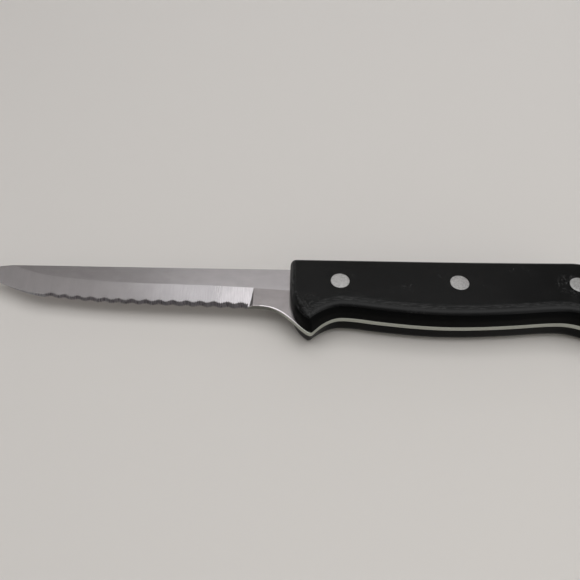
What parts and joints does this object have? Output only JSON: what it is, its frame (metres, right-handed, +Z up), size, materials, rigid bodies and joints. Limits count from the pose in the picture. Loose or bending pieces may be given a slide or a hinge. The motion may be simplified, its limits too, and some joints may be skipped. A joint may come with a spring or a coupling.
{
  "type": "serrated kitchen knife",
  "caption": "Slim serrated kitchen knife with a full tang, black contoured scales and flush round rivets, for slicing bread, fruit and meat.",
  "frame": {"origin": "on the resting surface, under the middle of the knife's bounding box", "axes": "+X from the point to the butt, -Y towards the cutting edge, +Z up through the blade's thickness, with the knife lying on its lower scale"},
  "size_m": [0.2144, 0.0266, 0.0132],
  "materials": {
    "steel": "satin, finely ground across the bevel",
    "handle": "smooth black moulded plastic with a soft sheen",
    "rivet": "ground flush, satin"
  },
  "bodies": {
    "root": {"blade": "steel", "scale_upper": "handle", "scale_lower": "handle", "rivet_front_pin": "rivet", "rivet_front_tube": "rivet", "rivet_middle_pin": "rivet", "rivet_middle_tube": "rivet", "rivet_rear_pin": "rivet", "rivet_rear_tube": "rivet"}
  },
  "joints": []
}
